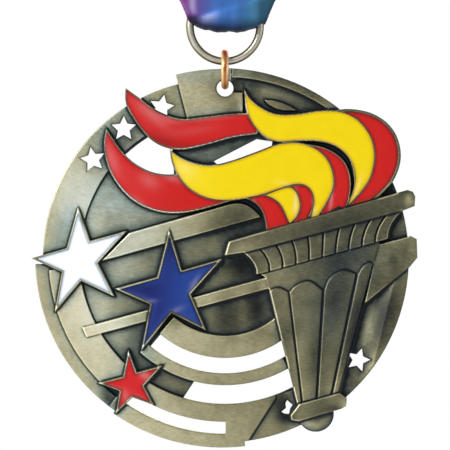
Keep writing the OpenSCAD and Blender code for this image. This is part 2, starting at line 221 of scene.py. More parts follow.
# ---- mesh tools

def link_piece(name, verts, faces, smooth=True):
    """A new mesh object from points in millimetres"""
    mesh = bpy.data.meshes.new(name)
    mesh.from_pydata((np.asarray(verts, float) * MM).tolist(), [], faces)
    mesh.polygons.foreach_set("use_smooth", [smooth] * len(mesh.polygons))
    obj = bpy.data.objects.new(name, mesh)
    scene.collection.objects.link(obj)
    return obj


def point_values(obj, **layers):
    for name, values in layers.items():
        layer = obj.data.attributes.new(name, "FLOAT", "POINT")
        layer.data.foreach_set("value", np.asarray(values, np.float32).ravel())


def unit(values):
    return np.clip(values, 0, 1)


def raised(xz, height):
    """Points over (x, z) at a height above the casting's back"""
    return np.stack([xz[:, 0], np.broadcast_to(BACK_Y - height, len(xz)), xz[:, 1]], 1)


def wall_faces(rings):
    """Quads between closed rings of vertex indices, each with the next"""
    return [
        [upper[i], upper[(i + 1) % len(upper)], lower[(i + 1) % len(upper)], lower[i]]
        for upper, lower in zip(rings, rings[1:]) for i in range(len(upper))
    ]


def tube_ring(centre, u, v, around):
    turns = (2 * math.pi * k / around for k in range(around))
    return [centre + u * math.cos(w) + v * math.sin(w) for w in turns]


def tube_faces(steps, around):
    """Faces of a capped tube whose points come ring by ring"""
    rings = [range(i * around, (i + 1) * around) for i in range(steps)]
    return wall_faces(rings) + [list(rings[0])[::-1], list(rings[-1])]


def clean(obj):
    """Faces turned outward, and no vertex without a face"""
    bm = bmesh.new()
    bm.from_mesh(obj.data)
    bmesh.ops.delete(bm, geom=[v for v in bm.verts if not v.link_faces], context="VERTS")
    bmesh.ops.recalc_face_normals(bm, faces=bm.faces)
    bm.to_mesh(obj.data)
    bm.free()
    return obj


def cad_triangles(node):
    """Merged vertices in millimetres and the triangles of a CAD node"""
    mesh = frame["nodes"][node].data
    mesh.calc_loop_triangles()
    co = np.array([tuple(v.co) for v in mesh.vertices]) / MM
    tri = np.array([tuple(t.vertices) for t in mesh.loop_triangles])
    keys, back = np.unique(np.round(co, 4), axis=0, return_inverse=True)
    return keys, back.reshape(-1)[tri]


# ---- height maps of the casting

GRID = 1344
PITCH = 0.05
GRID_X0 = -33.6
GRID_Z0 = -133.2


def height_map(verts, tris, facing):
    """Topmost surface along -Y (facing -1) or +Y (facing 1), as facing * y; NaN where nothing is"""
    field = np.full((GRID, GRID), -np.inf)
    px = (verts[:, 0] - GRID_X0) / PITCH
    pz = (verts[:, 2] - GRID_Z0) / PITCH
    w = verts[:, 1] * facing
    for a, b, c in tris:
        xs, zs = px[[a, b, c]], pz[[a, b, c]]
        area = (xs[1] - xs[0]) * (zs[2] - zs[0]) - (xs[2] - xs[0]) * (zs[1] - zs[0])
        if abs(area) < 1e-6:
            continue
        i0, i1 = int(np.ceil(xs.min() - 0.5)), int(np.floor(xs.max() - 0.5))
        j0, j1 = int(np.ceil(zs.min() - 0.5)), int(np.floor(zs.max() - 0.5))
        if i1 < i0 or j1 < j0:
            continue
        gx = np.arange(i0, i1 + 1)[None, :] + 0.5
        gz = np.arange(j0, j1 + 1)[:, None] + 0.5
        u = ((gx - xs[0]) * (zs[2] - zs[0]) - (xs[2] - xs[0]) * (gz - zs[0])) / area
        v = ((xs[1] - xs[0]) * (gz - zs[0]) - (gx - xs[0]) * (zs[1] - zs[0])) / area
        inside = (u >= -1e-9) & (v >= -1e-9) & (u + v <= 1 + 1e-9)
        value = w[a] + u * (w[b] - w[a]) + v * (w[c] - w[a])
        part = field[j0:j1 + 1, i0:i1 + 1]
        np.copyto(part, np.maximum(part, value), where=inside)
    field[np.isinf(field)] = np.nan
    return field


def blur(field, mask, sigma):
    fx = np.fft.rfftfreq(GRID, PITCH)
    fz = np.fft.fftfreq(GRID, PITCH)
    kernel = np.exp(-2 * (np.pi * sigma) ** 2 * (fx[None, :] ** 2 + fz[:, None] ** 2))
    weight = np.fft.irfft2(np.fft.rfft2(mask.astype(float)) * kernel, s=field.shape)
    total = np.fft.irfft2(np.fft.rfft2(np.where(mask, field, 0.0)) * kernel, s=field.shape)
    return total / np.maximum(weight, 1e-3)


def sample(field, xz):
    """Value of a map at points, between its cells' centres"""
    gx = np.clip((xz[:, 0] - GRID_X0) / PITCH - 0.5, 0, GRID - 1.001)
    gz = np.clip((xz[:, 1] - GRID_Z0) / PITCH - 0.5, 0, GRID - 1.001)
    i, j = gx.astype(int), gz.astype(int)
    fx, fz = gx - i, gz - j
    low = field[j, i] * (1 - fx) + field[j, i + 1] * fx
    high = field[j + 1, i] * (1 - fx) + field[j + 1, i + 1] * fx
    return low * (1 - fz) + high * fz


def nearest(field, xz):
    i = np.clip(((xz[:, 0] - GRID_X0) / PITCH).astype(int), 0, GRID - 1)
    j = np.clip(((xz[:, 1] - GRID_Z0) / PITCH).astype(int), 0, GRID - 1)
    return field[j, i]


# ---- outlines from the CAD mesh

def chain(edges):
    """Closed loops of vertex indices from directed edges"""
    after = {}
    for a, b in edges:
        after.setdefault(a, []).append(b)
    loops = []
    while after:
        loop, start = [], next(iter(after))
        at = start
        while not loop or at != start:
            loop.append(at)
            nxt = after[at].pop()
            if not after[at]:
                del after[at]
            at = nxt
        loops.append(loop)
    return loops


def signed_area(loop):
    x, z = loop.T
    return np.sum(x * np.roll(z, -1) - z * np.roll(x, -1)) / 2


def face_normals(verts, tris):
    """Unit normal of each triangle, and twice its area"""
    p = verts[tris]
    normal = np.cross(p[:, 1] - p[:, 0], p[:, 2] - p[:, 0])
    size = np.linalg.norm(normal, axis=1)
    return normal / np.maximum(size, 1e-12)[:, None], size


def sides(tri):
    a, b, c = tri
    return (a, b), (b, c), (c, a)


def flat_loops(verts, tris, y_plane, facing):
    """Outlines, as anticlockwise (x, z) arrays, of the faces that lie on a plane of constant y"""
    normal, size = face_normals(verts, tris)
    keep = (size > 1e-9) & (normal[:, 1] * facing > 0.99)
    keep &= np.abs(verts[tris][:, :, 1] - y_plane).max(axis=1) < 0.01
    edges = {edge for tri in tris[keep] for edge in sides(tri)}
    border = sorted((a, b) for a, b in edges if (b, a) not in edges)
    loops = (verts[loop][:, [0, 2]] for loop in chain(border))
    return [loop if signed_area(loop) > 0 else loop[::-1] for loop in loops]


def subdivide(loop, step):
    out = []
    for a, b in zip(loop, np.roll(loop, -1, 0)):
        n = max(1, int(np.ceil(np.linalg.norm(b - a) / step)))
        out.extend(a + (b - a) * k / n for k in range(n))
    return np.array(out)


def tidy_loop(loop, least):
    """Drops points closer than least to the one before"""
    out = [loop[0]]
    for p in loop[1:]:
        if np.linalg.norm(p - out[-1]) >= least:
            out.append(p)
    if np.linalg.norm(out[-1] - out[0]) < least:
        out.pop()
    return np.array(out)


def loop_sides(loop):
    """Unit normal at each point of a closed loop, to its left"""
    ahead = np.roll(loop, -1, 0) - np.roll(loop, 1, 0)
    ahead /= np.maximum(np.linalg.norm(ahead, axis=1, keepdims=True), 1e-9)
    return np.stack([-ahead[:, 1], ahead[:, 0]], 1)


SHARP_COS = 0.94


def crease_segments(verts, tris, height, lift, facing):
    """Sharp top edges of the relief that one side can see, as pairs of (x, z) points"""
    normal, _ = face_normals(verts, tris)
    owner = {}
    for k, tri in enumerate(tris):
        for e in sides(tri):
            owner.setdefault((min(e), max(e)), []).append(k)
    found = [e for e, f in owner.items() if len(f) == 2 and normal[f[0]] @ normal[f[1]] < SHARP_COS]
    ends = verts[np.array(found)]
    run = (ends[:, 1] - ends[:, 0])[:, [0, 2]]
    length = np.linalg.norm(run, axis=1)
    ends, run, length = (values[length > 0.02] for values in (ends, run, length))
    side = np.stack([-run[:, 1], run[:, 0]], 1) / length[:, None]
    mid = (ends[:, 0] + ends[:, 1]) / 2
    one, two = (nearest(height, mid[:, [0, 2]] + side * by) for by in (0.07, -0.07))
    ok = ~np.isnan(one) & ~np.isnan(two)
    ok &= np.abs(mid[:, 1] * facing + lift - np.fmax(one, two)) < 0.05
    return ends[ok][:, :, [0, 2]]


class Cloud:
    """Points kept at least a given distance apart, found again through a grid of cells"""
    CELL = 0.3

    def __init__(self):
        self.points = []
        self.cells = {}

    def add(self, candidates, apart):
        reach = int(np.ceil(apart / self.CELL))
        around = [(i, j) for i in range(-reach, reach + 1) for j in range(-reach, reach + 1)]
        for x, z in candidates.tolist():
            i, j = int(x // self.CELL), int(z // self.CELL)
            near = (p for di, dj in around for p in self.cells.get((i + di, j + dj), ()))
            if all((p[0] - x) ** 2 + (p[1] - z) ** 2 >= apart * apart for p in near):
                self.cells.setdefault((i, j), []).append((x, z))
                self.points.append((x, z))


def triangulate(points, loops):
    """Delaunay triangles inside the first loop and outside the others; loops are anticlockwise index lists"""
    out_verts, _, out_faces, origin, _, face_origin = geometry.delaunay_2d_cdt(
        [Vector(p) for p in points], [], [list(loop) for loop in loops], 0, 1e-7
    )
    where = {s: k for k, sources in enumerate(origin) for s in sources}
    faces = [list(f) for f, inside in zip(out_faces, face_origin) if set(inside) == {0}]
    return np.array(out_verts), faces, where


def grid_points(mask_field, step, jitter_seed):
    rng = np.random.default_rng(jitter_seed)
    n = int(GRID * PITCH / step)
    gx, gz = np.meshgrid(np.arange(n), np.arange(n))
    x = GRID_X0 + (gx + 0.5 * (gz % 2)) * step
    z = GRID_Z0 + gz * step * 0.92
    pts = np.stack([x.ravel(), z.ravel()], 1) + rng.uniform(-0.12, 0.12, (n * n, 2)) * step
    return pts[nearest(mask_field, pts)]


# ---- the casting

EDGE_ROUND = 0.15
LOOP_STEP = 0.18
CREASE_ROWS = [(0.05, 0.17, 0.055), (0.13, 0.2, 0.065), (0.25, 0.22, 0.11), (0.4, 0.26, 0.14)]
RELIEF_SOFT = 0.07
FRONT_GRID, BACK_GRID = 0.45, 0.9
SMALL_HOLE = 9.0  # mm2: holes below this get a wider painted shade round their rims
BACK_DIRT = 0.16
SIDE_LEVEL = 1.9


def rounding(distance):
    """How much lower the surface is at a distance from a rounded edge"""
    inside = np.clip(EDGE_ROUND - distance, 0, EDGE_ROUND)
    return EDGE_ROUND - np.sqrt(np.maximum(EDGE_ROUND ** 2 - inside ** 2, 0))


def distance_to(points, targets):
    tree = kdtree.KDTree(len(targets))
    for i, p in enumerate(targets):
        tree.insert((*p, 0), i)
    tree.balance()
    return np.array([tree.find((*p, 0))[2] for p in points])


def through_loops(loops, solid):
    """The loops that bound the casting's outline and openings, the outer one first"""
    kept = []
    for loop in loops:
        fine = subdivide(loop, 0.3)
        side = loop_sides(fine) * 0.13
        closed = nearest(solid, fine + side) & nearest(solid, fine - side)
        if closed.mean() < 0.4:
            kept.append(loop)
    return sorted(kept, key=signed_area, reverse=True)


def crease_rows(segments, offsets, step):
    """Points in rows beside each crease"""
    rows = []
    for a, b in segments:
        run = b - a
        length = np.linalg.norm(run)
        n = max(1, int(round(length / step)))
        along = a + run * (np.arange(n + 1) / n)[:, None]
        side = np.array([-run[1], run[0]]) / length
        rows += [along + side * d for d in offsets]
    return np.concatenate(rows)


def loop_rows(loops, offset, solid):
    rows = np.concatenate([loop + loop_sides(loop) * by for loop in loops for by in (offset, -offset)])
    return rows[nearest(solid, rows)]


def cover(loops, segments, solid, skip, grid_step):
    """Triangles over the casting: its loops, rows beside each crease, and outside skip a loose grid"""
    cloud = Cloud()
    index_loops = []
    for loop in loops:
        start = len(cloud.points)
        cloud.add(loop, 0.0)
        index_loops.append(range(start, len(cloud.points)))
    for offset in (0.07, 0.16, 0.32):
        cloud.add(loop_rows(loops, offset, solid), 0.055)
    for offset, step, apart in CREASE_ROWS:
        rows = crease_rows(segments, (offset, -offset), step)
        keep = nearest(solid, rows) & (~nearest(skip, rows) | (offset < 0.1))
        cloud.add(rows[keep], apart)
    cloud.add(grid_points(solid & ~skip, grid_step, 7), grid_step * 0.62)
    return triangulate(cloud.points, index_loops)


# Soft spots, each as x, z from the disc's centre, half-width, half-height, turn and strength.
# Darker pools, partly antiquing and partly painted shade
POOLS = [
    (-27, 4.6, 0.9, 3.2, -12, 0.05), (-20.6, 17.1, 2.6, 2.4, 0, 0.14), (-16.6, 20.6, 2.6, 2, 40, 0.26),
    (-10, 25.2, 2.6, 1.8, 25, 0.08), (1.5, 7.3, 5, 2.4, 14, 0.3), (-14.6, 0.8, 1, 2.2, -12, 0.05),
    (-24, 5.4, 0.8, 1, 0, 0.16), (0.5, 5, 3.2, 1.4, 14, 0.14), (3, -2, 1.8, 1.4, 14, 0.4),
    (-24, 6, 0.6, 1.8, -14, 0.24), (4.6, 28.4, 1, 2, 0, 0.12), (1.6, 25.2, 1.6, 1.2, 0, 0.2),
    (9.6, 25.4, 3.2, 0.9, -15, 0.16), (3, 18.4, 3, 1, 12, 0.1), (7, 30, 4.5, 1.4, -14, 0.14),
    (14, 27.6, 3.5, 1.4, -30, 0.26), (5.2, -8.2, 1.4, 3, 0, 0.36), (0.4, -9.6, 1.8, 3.6, 0, 0.26),
    (8, -13, 2.6, 1.4, 14, 0.12), (18.2, -6.6, 2, 4, -10, 0.2), (15.2, -17, 0.9, 4, -10, 0.18),
    (19.6, -0.2, 5, 1.8, 14, 0.18), (23.6, -6, 1.4, 2.2, -30, 0.08), (21.6, -12, 1.1, 4.4, -14, 0.28),
    (28.2, -10, 1.6, 6, -18, 0.26), (30.2, 1.4, 1, 2.8, 0, 0.14), (29.6, 13, 0.9, 2.6, 0, 0.16),
    (18.6, -25.4, 1.4, 1, 0, 0.16), (9.4, -24.6, 1.3, 2, 0, 0.34), (-15.3, -13.6, 2, 2.2, 0, 0.12),
    (-13.2, -16.9, 2.2, 1.4, 30, 0.04), (-10.4, -9.6, 2.4, 1.4, -20, 0.34),
    (-19.4, -23.4, 1, 1.6, 30, 0.42), (-7.4, -23.2, 1.8, 0.8, -15, 0.08), (-29.2, -7.6, 1.2, 3.2, 0, 0.06),
    (2, -24, 12, 7, 0, 0.13), (20, 5, 9, 2.2, 14, 0.08), (26.2, -10.5, 1, 4.6, -18, 0.36),
    (28.2, -0.4, 0.9, 1.4, 0, 0.16), (15.6, -29.6, 2.2, 1.6, 0, 0.18), (-0.5, 28.3, 2.6, 2.4, 0, 0.12),
    (26, -3.6, 1.8, 2.4, -30, 0.18), (8, 30.2, 3.4, 1, -16, 0.16), (19, 6, 6, 1.4, 14, 0.07),
    (10.1, -26.8, 1, 0.9, 0, 0.36), (-10.6, -6.2, 1.2, 1.6, 0, 0.2), (1.8, -0.9, 2.6, 0.7, 14, 0.25)
]
# Lighter places, partly polish from handling and partly painted highlight where the key light falls
SHINES = [
    (-26.2, 12, 2.4, 5, -20, 0.16), (-23.2, 6.6, 2.4, 4, 0, 0.22), (-17.4, 9.6, 4.4, 3.6, -24, 0.22),
    (-13.5, 2.9, 2, 1, 14, 0.08), (-16.6, -1.8, 2.6, 2.6, 0, 0.2), (-21.4, -8.8, 2.8, 3.8, 0, 0.27),
    (-17.6, -12.6, 1.8, 2, 0, 0.16), (30.7, 9.6, 0.7, 0.8, 0, 0.3), (31, -0.4, 0.5, 3.2, 0, 0.06),
    (8.8, -3, 2, 1.6, 14, 0.06), (13.4, -22, 1.6, 3.2, -10, 0.2), (18, -22, 1, 2.6, -10, 0.16),
    (24.1, -12, 0.8, 2.8, -14, 0.4), (20, -24.6, 0.9, 1, 0, 0.36), (3.2, 1.6, 2, 1, 14, 0.14),
    (7.4, 27.6, 3.4, 1.4, -14, 0.14), (-21.6, 4, 1.6, 3.4, 0, 0.1), (3.4, 25.2, 1, 1.2, 0, 0.4),
    (-9, 7.4, 2.8, 0.8, -5, 0.26), (-7, 18.2, 2, 1, 20, 0.12), (30.2, 5.6, 1, 3, 0, 0.14),
    (12, -27, 2.2, 1.6, 0, 0.12), (12.2, -16, 0.9, 3.4, -10, 0.12)
]
# Where the metal's colour is cast cold and bluish
CHILLS = [
    (-17.6, 9.4, 6, 4.6, -24, 0.85), (-16.6, -2, 4, 3.2, 0, 0.4), (-20.4, -6, 3, 3.6, 0, 0.25),
    (-17.6, 20, 4.4, 3.6, 40, 0.8), (-14.4, -15, 3.2, 3.4, 0, 0.8), (-2, 30.6, 8, 1, 0, 0.6),
    (-1, 17.4, 7, 2.6, 12, 1.3), (-27.2, 4.4, 1.4, 4, -12, 0.8), (17.8, -8, 3.4, 6, -10, 0.55),
    (-19.6, -23.4, 1.4, 2.4, 30, 0.8), (22, 0, 4, 2.6, 14, 0.5), (-7, 1.4, 4, 2, 14, 0.3)
]
# Where painted highlights lie on the enamel
GLEAMS = [
    (-12.4, 24, 2.6, 0.7, -40, 0.32), (-12.6, 12.8, 1.4, 0.9, -30, 0.22), (-5.2, 21.2, 3.6, 0.7, 8, 0.1),
    (-19, 16.6, 0.7, 2.4, 20, 0.26), (-6.6, 15, 1.5, 1.2, -30, 0.3), (-5.2, -4.4, 0.3, 1.3, -30, 0.4),
    (-3.6, -9, 0.25, 2, 24, 0.32), (-12.8, -7.3, 1.2, 0.22, 6, 0.3), (-7.8, -8.6, 1, 0.3, 25, 0.3),
    (-13.4, -19.6, 0.9, 0.5, -30, 0.4), (-16.6, -23, 0.4, 0.8, 0, 0.3), (-3.4, 23.2, 4.2, 0.35, 6, 0.22),
    (-9.8, 23.4, 1.6, 0.5, -25, 0.22), (11.8, 9, 0.22, 1.5, 0, 0.85), (14.9, 7.8, 0.2, 1.5, 8, 0.6),
    (17.7, 9.6, 0.2, 1.6, -8, 0.55), (9.8, 12.4, 1.2, 0.2, -15, 0.35), (-12.4, 15.6, 1.2, 0.9, -40, 0.6),
    (-9.4, 13.8, 1.8, 0.6, -25, 0.35), (2.8, 25, 0.8, 0.4, -50, 0.45), (5.2, 8, 0.2, 1.6, 12, 0.3),
    (22.2, 12, 0.2, 2, -20, 0.4), (-14.4, 9.2, 1.6, 0.5, -40, 0.2)
]
# Where painted shade darkens the enamel
DEPTHS = [
    (-11, 19.6, 3.4, 0.9, -14, 0.66), (-15.7, 21.8, 0.8, 2.4, 25, 0.46), (-6.4, 18.6, 3, 0.4, 6, 0.35),
    (-9.2, 2.6, 1.2, 3.2, 0, 0.75), (-15.2, -4.6, 2.6, 1, 0, 0.6), (-3, 0.2, 2.8, 1, 25, 0.7),
    (-11.6, -14, 0.8, 2.4, -20, 0.2)
]
# Where the tab runs flush into the rim, so no dark antiquing or painted shadow is put at its step
FLUSH = [(1.05, 30.5, 0.7, 1.1, 0, 2.2)]


def spots_at(spots, xz):
    """Sum of soft spots at points (x, z)"""
    total = np.zeros(len(xz))
    for x, z, half_x, half_z, turn, strength in spots:
        c, s = math.cos(math.radians(turn)), math.sin(math.radians(turn))
        dx, dz = xz[:, 0] - x, xz[:, 1] - DISC_Z - z
        u, v = (dx * c + dz * s) / half_x, (dz * c - dx * s) / half_z
        total += strength * np.exp(-0.7 * (u * u + v * v))
    return total


def build_casting():
    """The casting with its relief softened, its edges rounded, and its plating's wear, antiquing and painted
    light and shade as point values
    """
    verts, tris = cad_triangles("medal_casting")
    front = height_map(verts, tris, -1) + BACK_Y
    back = BACK_Y - height_map(verts, tris, 1)
    solid = ~np.isnan(front)
    cells = np.zeros_like(solid)
    for name in ENAMELS:
        cells |= ~np.isnan(height_map(*cad_triangles(name), -1))
    seen = np.where(cells, ENAMEL_H, front)
    relief = blur(np.where(cells, CELL_H, front), solid, RELIEF_SOFT)
    outlines = through_loops(flat_loops(verts, tris, BACK_Y, 1), solid)
    loops = [tidy_loop(subdivide(outline, LOOP_STEP), 0.06) for outline in outlines]
    rim_points = np.concatenate(loops)

    creases = crease_segments(verts, tris, front, BACK_Y, -1)
    flat_front, front_faces, front_at = cover(loops, creases, solid, cells, FRONT_GRID)
    height = sample(relief, flat_front) - rounding(distance_to(flat_front, rim_points))
    pockets = crease_segments(verts, tris, -back, -BACK_Y, 1)
    flat_back, back_faces, back_at = cover(loops, pockets, solid, np.zeros_like(solid), BACK_GRID)
    floor = sample(blur(back, solid, RELIEF_SOFT), flat_back)
    depth = floor + 0.7 * rounding(distance_to(flat_back, rim_points))

    back_start = len(flat_front)
    total = back_end = back_start + len(flat_back)
    points = [raised(flat_front, height), raised(flat_back, depth)]
    faces = front_faces + [[i + back_start for i in f] for f in back_faces]
    at = 0
    for loop in loops:
        own = range(at, at + len(loop))
        top, bottom = [front_at[i] for i in own], [back_at[i] for i in own]
        rings = [top]
        for t in (0.07, 0.5, 0.93):
            points.append(raised(loop, height[top] + (depth[bottom] - height[top]) * t))
            rings.append(range(total, total + len(loop)))
            total += len(loop)
        faces += wall_faces(rings + [[i + back_start for i in bottom]])
        at += len(loop)
    points = np.concatenate(points)
    obj = link_piece("cast_medal", points, faces)

    xz = points[:, [0, 2]]
    index = np.arange(len(points))
    is_front, is_back = index < back_start, (index >= back_start) & (index < back_end)

    def around(field, soft):
        return sample(blur(field, solid, soft), xz)

    here = around(seen, 0.05)
    sunk = around(back, RELIEF_SOFT) - around(back, 0.3)
    # Dark at the foot of each wall, partly antiquing and partly painted shadow; the shifted copy paints a
    # shadow below and right of raised parts, away from the key light
    near = blur(seen, solid, 0.14)
    lee = np.roll(near, (-2, 3), (0, 1))
    drop = np.where(solid, np.fmax(near - seen, 0.25 * (lee - seen)), 0.0)
    shadow = around(unit((drop - 0.008) / 0.055), 0.09) * (1 - unit(spots_at(FLUSH, xz)))
    # Antiquing and painted shade: darker, and colder, where the face lies below its broad surroundings
    smoke = np.where(is_front, around(seen, 0.8) - here, 0.0)
    small = np.concatenate([loop for loop in loops if abs(signed_area(loop)) < SMALL_HOLE])
    # Painted shade: a thin dark line along every outline, wider round small holes
    rim_dirt = 0.22 * np.exp(-distance_to(xz, rim_points) / 0.12)
    rim_dirt += 0.45 * np.exp(-distance_to(xz, small) / 0.16)
    # Antiquing and polish from the listed spots, which also paint shade and highlight, plus the painted shade
    # along the rims
    dirt = spots_at(POOLS, xz) - spots_at(SHINES, xz) + rim_dirt
    cold = spots_at(CHILLS, xz) + np.clip(smoke / 0.25, 0, 0.6)
    rise = around(np.gradient(blur(front, solid, 0.06), PITCH, axis=1), 0.05)
    bare = around(cells.astype(float), 0.3) < 0.02
    point_values(
        obj,
        crevice=np.where(is_front, shadow, np.where(is_back, np.clip(2 * sunk, 0, 0.3), 0.0)),
        worn=np.where(is_front, unit(here - sample(near, xz)), 0.0),
        smoke=smoke,
        level=np.where(is_front, around(front, 0.05), SIDE_LEVEL),
        patina=np.where(is_front, dirt, np.where(is_back, BACK_DIRT + rim_dirt, 0.1)),
        chill=np.where(is_front, unit(cold), 0.2),
        glint=unit(rise / 1.4) * bare * (here > 2.2) * is_front
    )
    return clean(obj)


# ---- materials

def antique_metal():
    """Antiqued brass: bright on the worn relief, near black at the foot of walls from antiquing and painted
    shadow, darker and lighter in spots from antiquing, polish and painted light, with painted highlights on
    slopes that face the key light, lighter on the left and darker on the right as painted light, colder where
    CHILLS say
    """
    material, tree, surface = shader("antique_brass", {"Metallic": 0.7})
    mottle = noise(tree, 0.45, detail=5, rough=0.6)
    grain = noise(tree, 4.0, stretch=(0.3, 1, 1), detail=4, rough=0.65)
    tone = ramp(tree, span(tree, "level", 1.3, 3.4), [
        (at, (grey,) * 3) for at, grey in (
            (0.0, 0.5), (0.09, 0.5), (0.24, 0.7), (0.38, 0.76), (0.5, 0.78), (0.57, 0.49), (0.7, 0.53),
            (0.77, 0.51), (0.95, 0.48)
        )
    ])
    # Painted light: lighter on the left, towards the key light, and darker on the right
    across = span(tree, object_x(tree), -0.026, 0.026, 1.1, 0.78, smooth=True)
    tone = math_node(tree, "MULTIPLY", tone, across)
    # Darker in broad recesses, partly antiquing and partly painted shade
    smoke = span(tree, "smoke", 0.02, 0.35, 0.0, 0.13)
    worn = span(tree, "worn", 0.03, 0.14, 0.0, 0.2, smooth=True)
    for kind, amount in (
        ("ADD", vary(tree, mottle, -0.045, 0.045)), ("ADD", vary(tree, grain, -0.05, 0.05)),
        ("SUBTRACT", "patina"), ("SUBTRACT", smoke), ("SUBTRACT", "crevice"), ("ADD", worn)
    ):
        tone = math_node(tree, kind, tone, amount)
    tone = math_node(tree, "ADD", tone, math_node(tree, "MULTIPLY", "glint", 0.5), clamp=True)
    colour = ramp(tree, tone, [
        (0.0, (0.006, 0.008, 0.01)), (0.2, (0.036, 0.04, 0.034)), (0.4, (0.135, 0.13, 0.074)),
        (0.6, (0.335, 0.312, 0.18)), (0.8, (0.61, 0.575, 0.365)), (1.0, (0.88, 0.85, 0.65))
    ])
    cold = mix_colour(tree, 1.0, colour, (0.76, 0.99, 1.42), "MULTIPLY")
    colour = mix_colour(tree, "chill", colour, cold)
    dress(tree, surface, colour, grain, 0.3, 0.00004, Roughness=vary(tree, grain, 0.33, 0.48))
    return material


def enamel(name, colour, deep, pale, pale_to=None):
    """Glassy fill with painted shade along its rims and where the shade spots say, and painted highlights
    where the gleam spots say; it turns from pale, a painted-light tone for its lit or shaded side, to full
    colour between the two x it is given
    """
    material, tree, surface = shader(name, {
        "Roughness": 0.3, "Specular IOR Level": 0.25, "Coat Weight": 0.45, "Coat Roughness": 0.08
    })
    # Painted shade: darker along the rims
    tint = ramp(tree, "edge", [(0.0, deep), (0.36, colour), (1.0, colour)])
    # Painted light: one side takes a lighter or darker tone, as the key light falls, strongest away from the
    # rims
    if pale_to:
        side = span(tree, object_x(tree), pale_to[0] * MM, pale_to[1] * MM, 1.0, 0.0, smooth=True)
        thick = span(tree, "edge", 0.1, 0.8, 0.2, 1.0)
        tint = mix_colour(tree, math_node(tree, "MULTIPLY", side, thick), tint, pale)
    tint = mix_colour(tree, "deep", tint, deep)
    # Painted highlight where the gleam spots say
    gleam = tuple(0.5 * c + 0.48 for c in colour)
    tint = mix_colour(tree, math_node(tree, "MULTIPLY", "gleam", 0.55), tint, gleam)
    tint = dim(tree, tint, vary(tree, noise(tree, 0.5, detail=4), 0.98, 1.02))
    dress(tree, surface, tint, noise(tree, 0.8, detail=2), 0.06, 0.00003)
    return material


def finish_piece(obj, material, body, node):
    """The piece's material, and what it is in the part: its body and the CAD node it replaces"""
    obj.data.materials.clear()
    obj.data.materials.append(material)
    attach(obj, body)
    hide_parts(node)


# ---- enamels

def build_enamel(node):
    """Domed enamel that fills its cell in the casting"""
    verts, tris = cad_triangles(node)
    outer = max(flat_loops(verts, tris, BACK_Y - ENAMEL_H, -1), key=signed_area)
    outline = tidy_loop(subdivide(outer, 0.2), 0.05)
    outward = -loop_sides(outline)
    mask = ~np.isnan(height_map(verts, tris, -1))
    grown = outline + outward * 0.07
    cloud = Cloud()
    cloud.add(grown, 0.0)
    n = len(grown)
    for offset, apart in ((0.06, 0.05), (0.2, 0.08), (0.4, 0.15), (0.7, 0.25)):
        row = outline - outward * offset
        cloud.add(row[nearest(mask, row)], apart)
    cloud.add(grid_points(mask, 0.5, 3), 0.3)
    flat, faces, at = triangulate(cloud.points, [range(n)])
    far = distance_to(flat, grown)
    height = ENAMEL_H - 0.1 + 0.11 * (1 - np.exp(-far / 0.45))
    levels = (ENAMEL_H - 0.16, CELL_H - 0.2)
    points = [raised(flat, height)] + [raised(grown, level) for level in levels]
    rings = [[at[i] for i in range(n)]] + [range(start, start + n) for start in (len(flat), len(flat) + n)]
    faces += wall_faces(rings)
    _, under_faces, under_at = triangulate(grown, [range(n)])
    back_index = {v: rings[-1][k] for k, v in under_at.items()}
    faces += [[back_index[i] for i in f] for f in under_faces]
    obj = link_piece(node.replace("enamel", "enamel_fill"), np.concatenate(points), faces)
    side = np.zeros(2 * n)
    point_values(
        obj,
        edge=unit(np.concatenate([far, side]) / 1.6),
        gleam=np.concatenate([np.clip(spots_at(GLEAMS, flat), 0, 0.9), side]),
        deep=np.concatenate([spots_at(DEPTHS, flat), side])
    )
    return clean(obj)


finish_piece(build_casting(), antique_metal(), "medal", "medal_casting")

GLAZES = {
    "red": enamel("red_enamel", (0.48, 0.01, 0.009), (0.21, 0.003, 0.003), (0.54, 0.03, 0.03), (-22, -6)),
    "red_star": enamel("ruby_enamel", (0.52, 0.013, 0.017), (0.3, 0.004, 0.006), (0.54, 0.028, 0.026)),
    "yellow": enamel("yellow_enamel", (0.73, 0.55, 0.001), (0.54, 0.32, 0.001), (0.76, 0.6, 0.02), (-12, 2)),
    "white": enamel("white_enamel", (0.9, 0.93, 0.95), (0.3, 0.4, 0.6), (0.94, 0.95, 0.96)),
    "blue": enamel(
        "blue_enamel", (0.012, 0.042, 0.226), (0.005, 0.008, 0.049), (0.008, 0.014, 0.125), (-13, -6)
    ),
}
for node_name in ENAMELS:
    colour_name = node_name.split("_")[1]
    glaze = GLAZES.get(node_name.removeprefix("enamel_"), GLAZES[colour_name])
    finish_piece(build_enamel(node_name), glaze, "medal", node_name)


# ---- neck ribbon

RIBBON_W = 22.2
CLOTH_T = 0.26
THREADS = 260.0
MARGIN_FROM = 4.6  # from here to its edge the cloth can fold
LOBE_TOP_Z, LOBE_H = -52.5, 7.0
STRAP_GAP = 0.16
RUN_RADII = [3.88 - 0.34 * i for i in range(8)]
RUN_TOP_Z = 0.0
RUN_BOTTOM_Z = -41.6
LAST_RUN_Z = -9.0
FOLD_R = 0.16
FOLD_RUN = 3.4
FRONT_LOBE = [
    (-0.62, -53.7), (-1.25, -55.0), (-2.1, -56.6), (-2.9, -58.4), (-3.42, -60.0), (-3.38, -61.1),
    (-2.55, -61.85), (-1.3, -62.12), (0.0, -62.18)
]
LEAD = [
    (0.0, -52.6), (0.12, -51.4), (0.72, -49.0), (1.6, -46.8), (2.55, -44.8), (3.3, -43.4),
    (3.78, -42.0), (3.88, -40.4)
]
WIDTHS = [
    (-62.3, 9.2), (-61.9, 9.7), (-61.6, 10.6), (-61.2, 11.6), (-60.6, 12.4), (-58.8, 13.7), (-57.05, 15.2),
    (-55.0, 18.0), (-53.4, 21.0), (-52.2, 22.2)
]


